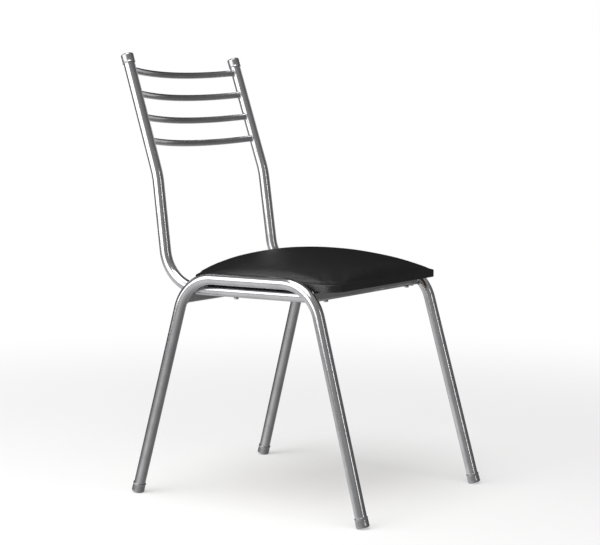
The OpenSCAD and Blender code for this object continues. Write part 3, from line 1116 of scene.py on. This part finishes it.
def crossingPoint(sign):
    # where a seat rail passes the rear bend of its leg frame, midway between the two tubes
    rails, bends = backPath(sign, railFront), legPath(sign)
    best = min(((a - b).length, i, j) for i, a in enumerate(rails) for j, b in enumerate(bends) if b.y > midY)
    return rails[best[1]].lerp(bends[best[2]], 0.5)


makeWelds()
print("welds done")


# staples and screws

staples = {
    "width": 0.010, "wire": 0.0008, "leg": 0.007, "pitch": 0.030, "inset": 0.021,
    "corner": 0.0009, "wobble": 0.10, "seed": 11,
}
screws = {
    "shank": 0.0024, "head": 0.0048, "headTall": 0.0036, "bite": 0.009,
    "recess": 0.0027, "recessDeep": 0.0019, "frontX": 0.150, "rearY": 0.043, "seed": 3,
}


def makeSetOutTool():
    # puts one part on every point, turned by the point's own yaw and a little at random
    tree, b, ins = newTool("setOut", {
        "Part": ("Object", None), "Wobble": ("Float", 0.1), "Seed": ("Int", 0), "Finish": ("Material", None),
    })
    part = b.node("GeometryNodeObjectInfo", {}, {"Object": ins["Part"]}, out=4)
    yaw = b.node("GeometryNodeInputNamedAttribute", {"data_type": "FLOAT"}, {"Name": "yaw"})
    loose = b.node("FunctionNodeRandomValue", {"data_type": "FLOAT"},
                   {2: -1.0, 3: 1.0, "Seed": ins["Seed"]}, out=1)
    turn = b.node("ShaderNodeCombineXYZ", {}, {0: 0.0, 1: 0.0, 2: yaw + loose * ins["Wobble"]})
    turn = b.node("FunctionNodeEulerToRotation", {}, {0: turn})
    put = b.node("GeometryNodeInstanceOnPoints", {},
                 {"Points": ins["Geometry"], "Instance": part, "Rotation": turn})
    endTool(b, put, ins["Finish"])
    return tree


setOutTool = makeSetOutTool()


def setOut(name, places, part, wobble, seed, finish):
    mesh = bpy.data.meshes.new(name + "Places")
    mesh.from_pydata([p for p, yaw in places], [], [])
    yaws = mesh.attributes.new("yaw", "FLOAT", "POINT")
    for item, (p, yaw) in zip(yaws.data, places):
        item.value = yaw
    piece = runTool(newPiece(name + "Places", mesh), setOutTool,
                    {"Part": part, "Wobble": wobble, "Seed": seed, "Finish": finish}, name)
    bpy.data.objects.remove(part)
    return piece


def staplePart():
    s = staples
    half, top = (s["width"] - s["wire"]) / 2, -s["wire"] / 2
    corners = [(-half, s["leg"]), (-half, top), (half, top), (half, s["leg"])]
    flat = bentPath(corners, [0, s["corner"], s["corner"], 0], math.radians(22))
    path = [Vector((p.x, 0, p.y)) for p in flat]
    part = runTool(curveThrough("staplePart", [(path, False)]), tubeTool,
                   {"Tube radius": s["wire"] / 2, "Sides": 8, "Finish": finishes["zinc"]}, "staplePart")
    outward(part.data)
    shadeSoft(part.data, 50)
    return part


def stapleRow(start, end, yaw):
    start, end = Vector(start), Vector(end)
    count = max(2, round((end - start).length / staples["pitch"]) + 1)
    spots = [start.lerp(end, k / (count - 1)) for k in range(count)]
    return [(Vector((spot.x, spot.y, padLow.z + 0.0002)), yaw) for spot in spots]


def makeStaples():
    s = staples
    barLow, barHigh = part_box("front_cross_rail")
    sideX, frontY, rearY = padHigh.x - s["inset"], padLow.y + s["inset"], padHigh.y - s["inset"]
    reach = padHigh.x - pad["frontRound"] - s["width"]
    rearReach = padHigh.x - pad["rearRound"] - s["width"] / 2
    places = stapleRow((-reach, frontY), (reach, frontY), 0.0)
    places += stapleRow((-rearReach, rearY), (rearReach, rearY), 0.0)
    for sign in (-1, 1):
        x = sign * sideX
        places += stapleRow((x, padLow.y + pad["frontRound"]), (x, barLow.y - s["width"]), math.pi / 2)
        places += stapleRow((x, barHigh.y + s["width"]), (x, padHigh.y - pad["rearRound"]), math.pi / 2)
    piece = setOut("coverStaples", places, staplePart(), s["wobble"], s["seed"], finishes["zinc"])
    shadeSoft(piece.data, 50)
    settle(piece, "zinc", "cover_staples")


def screwHead():
    # a pan head that faces down
    s = screws
    r, tall = s["head"], s["headTall"]
    profile = [(0.0, -tall)]
    profile += [(r * k, -tall + 0.0011 * k ** 3) for k in (0.3, 0.5, 0.62)]
    for d in (25, 45, 65, 80, 90):
        a = math.radians(d)
        profile.append((r * (0.62 + 0.38 * math.sin(a)), -tall + 0.00026 + 0.0022 * (1 - math.cos(a))))
    profile += [(r, -0.0004), (r - 0.0002, 0.0), (s["shank"], 0.0)]
    return pieceOf("screwHead", lathe(profile, 36))


def recessTool():
    # the two tapered blades of a cross recess
    s = screws
    cutter = bmesh.new()
    for turn in (0, math.pi / 2):
        made = bmesh.ops.create_cube(cutter, size=1.0)["verts"]
        for v in made:
            deep = v.co.z > 0
            wide = 0.55 if deep else 1.0
            x = v.co.x * 2 * s["recess"] * wide
            y = v.co.y * 0.0011 * (0.8 if deep else 1.0)
            z = -s["headTall"] + (s["recessDeep"] if deep else -0.002)
            c, t = math.cos(turn), math.sin(turn)
            v.co = Vector((x * c - y * t, x * t + y * c, z))
    return pieceOf("screwRecess", cutter)


def threadedShank(long):
    s = screws
    root, pitch, z = s["shank"] - 0.0005, 0.0016, 0.004
    shaft = [(0.0, -0.0001), (s["shank"], -0.0001), (s["shank"], z)]
    while z + pitch < long - 0.003:
        shaft += [(s["shank"], z), (root, z + pitch * 0.35), (root, z + pitch * 0.65)]
        z += pitch
    shaft += [(s["shank"], z), (0.0005, long), (0.0, long)]
    return lathe(shaft, 24)


def makeScrews():
    s = screws
    solid, tool = screwHead(), recessTool()
    cut = solid.modifiers.new("recess", "BOOLEAN")
    cut.operation, cut.solver, cut.object, cut.use_self = "DIFFERENCE", "EXACT", tool, True
    part = baked(solid, "screwPart")
    bpy.data.objects.remove(tool)
    low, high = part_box("front_cross_rail")
    pieces = []
    for where, z, x, y in (("rear", railZ - tube["radius"], railX, s["rearY"] + midY),
                           ("front", low.z, s["frontX"], (low.y + high.y) / 2)):
        one = part.copy()
        one.data = part.data.copy()
        bpy.context.scene.collection.objects.link(one)
        shank = threadedShank(boardLow.z + s["bite"] - z)
        shank.from_mesh(one.data)
        shank.to_mesh(one.data)
        shank.free()
        shadeSoft(one.data, 35)
        places = [(Vector((sign * x, y, z)), 0.4 * sign) for sign in (-1, 1)]
        pieces.append(setOut("seatScrews_" + where, places, one, 1.5, s["seed"], finishes["zinc"]))
    bpy.data.objects.remove(part)
    whole = bmesh.new()
    for piece in pieces:
        whole.from_mesh(piece.data)
    mesh = pieces[0].data.copy()
    whole.to_mesh(mesh)
    whole.free()
    for piece in pieces:
        bpy.data.objects.remove(piece)
    mesh.name = "seatScrews"
    shadeSoft(mesh, 35)
    settle(newPiece("seatScrews", mesh, finishes["zinc"]), "zinc", "seat_screws")


makeStaples()
makeScrews()
print("staples and screws done")


# studio

studio = {
    "floorTone": 0.90,
    "floorReach": 14.0,
    "glow": 0.45,                       # how far the floor is lifted to white beside the chair
    "whiteFrom": 0.4, "whiteTo": 2.4,   # metres from the chair where it fades into the backdrop
    "toBack": (0.836, 0.549, 0.0),      # the two ways that the room's tones change along
    "toSide": (0.549, -0.836, 0.0),
    "backTones": ((0.0, 0.38), (0.45, 0.30), (0.80, 0.15), (0.95, 0.012)),
    "groundTones": ((0.10, 0.95), (0.5, 0.50), (0.9, 0.22)),
    "sideTone": (0.11, 0.11, 0.113),
    "ceilingTone": (0.36, 0.36, 0.36),
}


def makeFloor():
    work = bmesh.new()
    bmesh.ops.create_circle(work, cap_ends=True, segments=96, radius=studio["floorReach"])
    floor = pieceOf("studioFloor", work)
    finish, b = newFinish("paleFloor")
    where = b.place()
    distance = b.node("ShaderNodeVectorMath", {"operation": "LENGTH"}, {0: where}, out=1)
    far = b.step(distance, studio["whiteFrom"], studio["whiteTo"]) * (1 - studio["glow"]) + studio["glow"]
    tone = studio["floorTone"]
    speck = b.cloud(where, 60.0, 3.0) * 0.01 + (tone - 0.005)
    paint = b.node("ShaderNodeBsdfPrincipled", {}, {
        "Base Color": b.node("ShaderNodeCombineColor", {}, {0: speck, 1: speck, 2: speck}),
        "Roughness": 0.9, "Specular IOR Level": 0.1,
    })
    glow = b.node("ShaderNodeEmission", {}, {"Color": (1, 1, 1, 1), "Strength": 1.0})
    both = b.node("ShaderNodeMixShader", {}, {0: far, 1: paint, 2: glow})
    b.node("ShaderNodeOutputMaterial", {}, {"Surface": both})
    floor.data.materials.append(finish)
    floor.visible_glossy = False
    floor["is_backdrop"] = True


def makeWorld():
    world = bpy.data.worlds.new("studioWorld")
    bpy.context.scene.world = world
    world.use_nodes = True
    world.node_tree.nodes.clear()
    b = Bench(world.node_tree)
    way = b.node("ShaderNodeTexCoord", out=0)
    up = b.node("ShaderNodeSeparateXYZ", {}, {0: way}, out=2)
    dot = {"operation": "DOT_PRODUCT"}
    toBack = b.node("ShaderNodeVectorMath", dot, {0: way, 1: studio["toBack"]}, out=1)
    toSide = b.node("ShaderNodeVectorMath", dot, {0: way, 1: studio["toSide"]}, out=1)
    room = b.ramp(toBack * 0.5 + 0.5, [(place, (tone,) * 3) for place, tone in studio["backTones"]])
    room = b.mix(b.step(toSide, -0.1, 0.9) * 0.6, room, studio["sideTone"])
    room = b.mix(b.step(up, 0.35, 0.9) * b.step(toBack, 0.5, 0.0), room, studio["ceilingTone"])
    ground = b.ramp(toSide * 0.5 + 0.5, [(place, (tone,) * 3) for place, tone in studio["groundTones"]])
    room = b.mix(b.step(up, -0.05, -0.35), room, ground)
    seen = b.node("ShaderNodeLightPath", out=0)
    tone = b.mix(seen, room, (1.0, 1.0, 1.0))
    sky = b.node("ShaderNodeBackground", {}, {"Color": tone, "Strength": 1.0})
    b.node("ShaderNodeOutputWorld", {}, {"Surface": sky})


lamps = {
    # place, aim, width, height, watts
    "overhead": ((-0.9, -0.1, 2.8), (0, 0, 0.3), 1.8, 2.0, 58.0),
    "flankGlow": ((-2.0, 1.2, 0.70), (0, 0, 0.45), 2.0, 0.8, 22.0),
    "slatWash": ((2.6, 0.3, 0.95), (0, 0, 0.75), 1.9, 1.5, 5.5),
    "sideBank": ((-2.15, 1.15, 1.20), (0, 0, 0.45), 2.9, 1.9, 45.0),
    "frontStrip": ((-0.4, -3.0, 1.1), (0, 0, 0.45), 0.25, 1.8, 6.0),
}


lampsOnly = {"slatWash": list(tubes.values()), "flankGlow": [seatCover]}


def makeLamp(name, place, aim, width, height, watts):
    data = bpy.data.lights.new(name, "AREA")
    data.shape = "RECTANGLE"
    data.size, data.size_y = width, height
    data.energy = watts
    lamp = bpy.data.objects.new(name, data)
    bpy.context.scene.collection.objects.link(lamp)
    lamp.location = place
    lamp.rotation_euler = (Vector(aim) - Vector(place)).to_track_quat("-Z", "Y").to_euler()
    lamp.visible_camera = False
    return lamp


def makeStudio():
    makeFloor()
    makeWorld()
    for name, facts in lamps.items():
        lamp = makeLamp(name, *facts)
        if name in lampsOnly:  # a lamp that lights a few pieces and leaves the rest alone
            group = bpy.data.collections.new(name + "Only")
            for piece in lampsOnly[name]:
                group.objects.link(piece)
            lamp.light_linking.receiver_collection = group
    bpy.context.scene.view_settings.view_transform = "Standard"


makeStudio()
print("studio done")

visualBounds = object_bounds()
boxes = {"cad": cadBounds, "visual": visualBounds}
{name: [list(corner) for corner in box] for name, box in boxes.items()}
